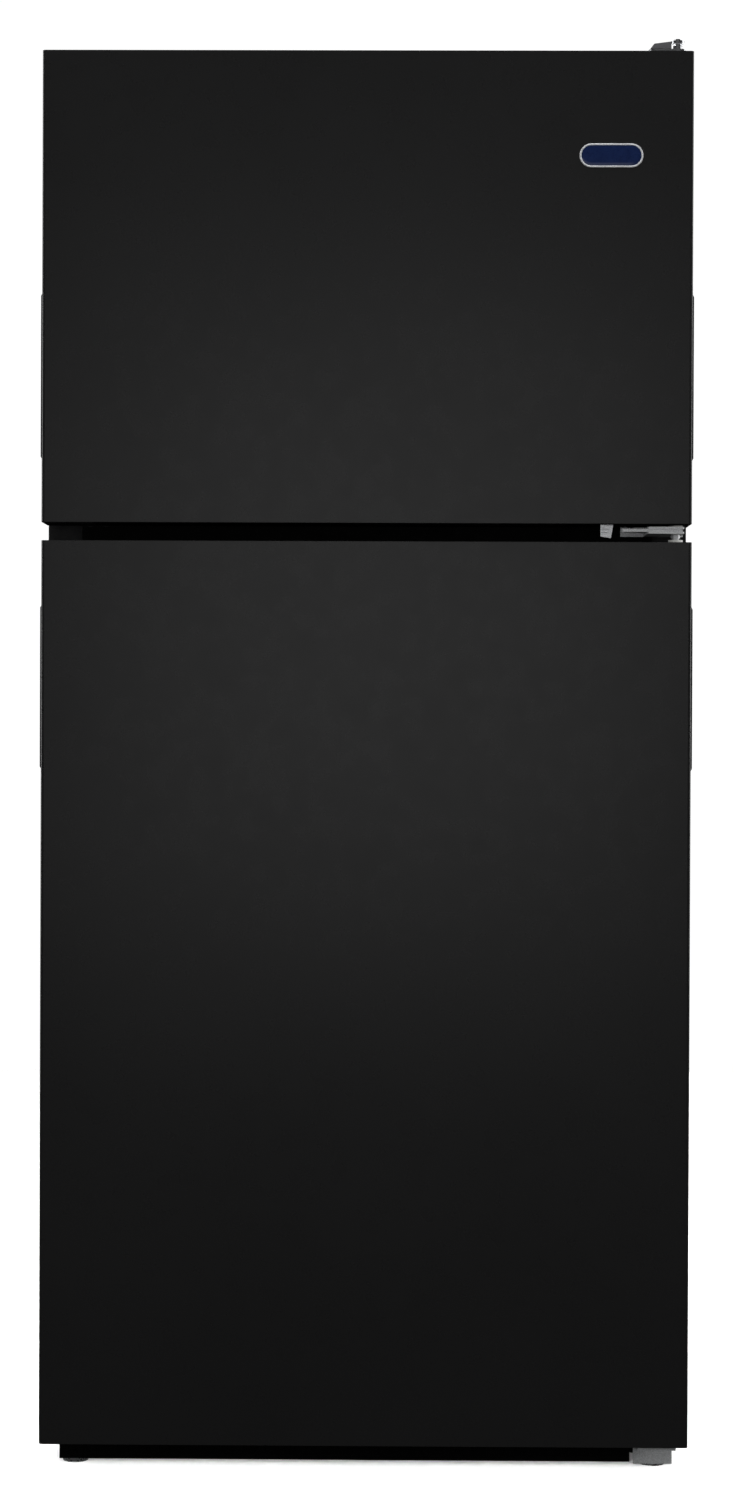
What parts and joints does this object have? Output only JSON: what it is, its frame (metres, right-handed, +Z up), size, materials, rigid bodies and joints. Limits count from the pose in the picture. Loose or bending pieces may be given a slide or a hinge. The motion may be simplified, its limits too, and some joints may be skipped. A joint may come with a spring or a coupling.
{
  "type": "top freezer refrigerator",
  "caption": "Free-standing top freezer refrigerator: foamed steel cabinet, two hinged doors with side finger grips, shelves, crisper drawers and a rear machine compartment.",
  "frame": {"origin": "on the floor, under the centre of the overall bounding box", "axes": "+Z up, +X to the viewer's right when facing the doors, +Y towards the back; the doors face -Y"},
  "size_m": [0.76, 0.77, 1.685],
  "materials": {
    "black_enamel": "near-black satin enamel, slightly textured on the cabinet",
    "galvanised": "plain zinc-coated sheet",
    "foam": "rigid insulating foam, matte",
    "liner_white": "smooth white liner plastic",
    "black_plastic": "fine-grained black moulding",
    "grey_plastic": "fine-grained dark grey moulding",
    "hinge_zinc": "light grey zinc finish",
    "screw_zinc": "bright zinc plate",
    "white_plastic": "smooth white moulding",
    "coil_aluminium": "bare",
    "heater_metal": "dull heat-tinted tube",
    "lamp_lens": "frosted diffuser",
    "shelf_glass": "clear with a green edge",
    "clear_plastic": "clear, faintly blue",
    "compressor_black": "black paint",
    "coil_black": "black paint",
    "frame_steel": "dark grey paint",
    "gasket_rubber": "matte, folded lip",
    "nylon": "natural nylon",
    "badge_rim": "satin silver rim round a slate field",
    "slider_blue": "tinted moulding",
    "roller_black": "hard black wheel"
  },
  "bodies": {
    "cabinet": {"cabinet_wrapper": "black_enamel", "back_panel": "galvanised", "cabinet_foam": "foam", "freezer_liner": "liner_white", "fridge_liner": "liner_white", "mullion_rail": "black_enamel", "bottom_pan": "frame_steel", "base_frame": "frame_steel", "toe_grille": "black_plastic", "top_hinge": "hinge_zinc", "top_hinge_cover": "grey_plastic", "center_hinge": "hinge_zinc", "bottom_hinge": "hinge_zinc", "hinge_screws": "screw_zinc", "hinge_hole_plugs": "black_plastic", "evaporator_cover": "white_plastic", "evaporator_coil": "coil_aluminium", "defrost_heater": "heater_metal", "fan_motors": "grey_plastic", "freezer_shelf": "white_plastic", "control_housing": "white_plastic", "led_light": "lamp_lens", "shelf_frames": "white_plastic", "shelf_glass": "shelf_glass", "compressor": "compressor_black", "condenser_coil": "coil_black", "drain_pan": "black_plastic", "machine_room_cover": "grey_plastic", "cord_gland": "black_plastic"},
    "freezer_door": {"freezer_door_skin": "black_enamel", "freezer_door_foam": "foam", "freezer_door_liner": "liner_white", "freezer_door_gasket": "gasket_rubber", "freezer_door_caps": "black_plastic", "freezer_door_grips": "black_plastic", "freezer_door_bins": "clear_plastic", "freezer_door_stop": "frame_steel", "freezer_door_bushings": "nylon", "badge": "badge_rim"},
    "fridge_door": {"fridge_door_skin": "black_enamel", "fridge_door_foam": "foam", "fridge_door_liner": "liner_white", "fridge_door_gasket": "gasket_rubber", "fridge_door_caps": "black_plastic", "fridge_door_grips": "black_plastic", "fridge_door_bins": "clear_plastic", "fridge_door_bushings": "nylon"},
    "dairy_lid": {"dairy_lid": "clear_plastic"},
    "crisper_left": {"crisper_left": "clear_plastic"},
    "crisper_right": {"crisper_right": "clear_plastic"},
    "humidity_slider": {"humidity_slider": "slider_blue"},
    "fridge_control_knob": {"fridge_control_knob": "white_plastic"},
    "freezer_control_knob": {"freezer_control_knob": "white_plastic"},
    "light_switch": {"light_switch": "white_plastic"},
    "rear_roller_left": {"rear_roller_left": "roller_black"},
    "rear_roller_right": {"rear_roller_right": "roller_black"},
    "leveling_leg_left": {"leveling_leg_left": "screw_zinc"},
    "leveling_leg_right": {"leveling_leg_right": "screw_zinc"},
    "evaporator_fan": {"evaporator_fan": "white_plastic"},
    "condenser_fan": {"condenser_fan": "grey_plastic"}
  },
  "joints": [
    {"name": "freezer_door_hinge", "type": "hinge", "parent": "cabinet", "child": "freezer_door", "pos_m": [0.362, -0.345, 1.116], "axis": [0, 0, 1], "range_deg": [0, 130]},
    {"name": "fridge_door_hinge", "type": "hinge", "parent": "cabinet", "child": "fridge_door", "pos_m": [0.362, -0.345, 0.042], "axis": [0, 0, 1], "range_deg": [0, 130]},
    {"name": "dairy_lid_hinge", "type": "hinge", "parent": "fridge_door", "child": "dairy_lid", "pos_m": [0, -0.249, 0.9965], "axis": [1, 0, 0], "range_deg": [0, 85]},
    {"name": "crisper_left_slide", "type": "slide", "parent": "cabinet", "child": "crisper_left", "axis": [0, -1, 0], "range_m": [0, 0.04]},
    {"name": "crisper_right_slide", "type": "slide", "parent": "cabinet", "child": "crisper_right", "axis": [0, -1, 0], "range_m": [0, 0.04]},
    {"name": "humidity_slide", "type": "slide", "parent": "cabinet", "child": "humidity_slider", "axis": [1, 0, 0], "range_m": [-0.02, 0.02]},
    {"name": "fridge_control", "type": "hinge", "parent": "cabinet", "child": "fridge_control_knob", "pos_m": [-0.085, 0.06, 1.031], "axis": [0, -1, 0], "range_deg": [-135, 135]},
    {"name": "freezer_control", "type": "hinge", "parent": "cabinet", "child": "freezer_control_knob", "pos_m": [0.085, 0.06, 1.031], "axis": [0, -1, 0], "range_deg": [-135, 135]},
    {"name": "light_switch_press", "type": "slide", "parent": "cabinet", "child": "light_switch", "axis": [0, -1, 0], "range_m": [0, 0.006]},
    {"name": "rear_roller_left_spin", "type": "hinge", "parent": "cabinet", "child": "rear_roller_left", "pos_m": [-0.345, 0.33, 0.014], "axis": [1, 0, 0], "continuous": true},
    {"name": "rear_roller_right_spin", "type": "hinge", "parent": "cabinet", "child": "rear_roller_right", "pos_m": [0.345, 0.33, 0.014], "axis": [1, 0, 0], "continuous": true},
    {"name": "leveling_left", "type": "slide", "parent": "cabinet", "child": "leveling_leg_left", "axis": [0, 0, -1], "range_m": [0, 0.015]},
    {"name": "leveling_right", "type": "slide", "parent": "cabinet", "child": "leveling_leg_right", "axis": [0, 0, -1], "range_m": [0, 0.015]},
    {"name": "evaporator_fan_spin", "type": "hinge", "parent": "cabinet", "child": "evaporator_fan", "pos_m": [0, 0.267, 1.543], "axis": [0, 1, 0], "continuous": true},
    {"name": "condenser_fan_spin", "type": "hinge", "parent": "cabinet", "child": "condenser_fan", "pos_m": [-0.033, 0.26, 0.134], "axis": [1, 0, 0], "continuous": true}
  ],
  "couplings": [
    {"joint": "light_switch_press", "follows": "fridge_door_hinge", "m_per_rad": 0.0026}
  ]
}
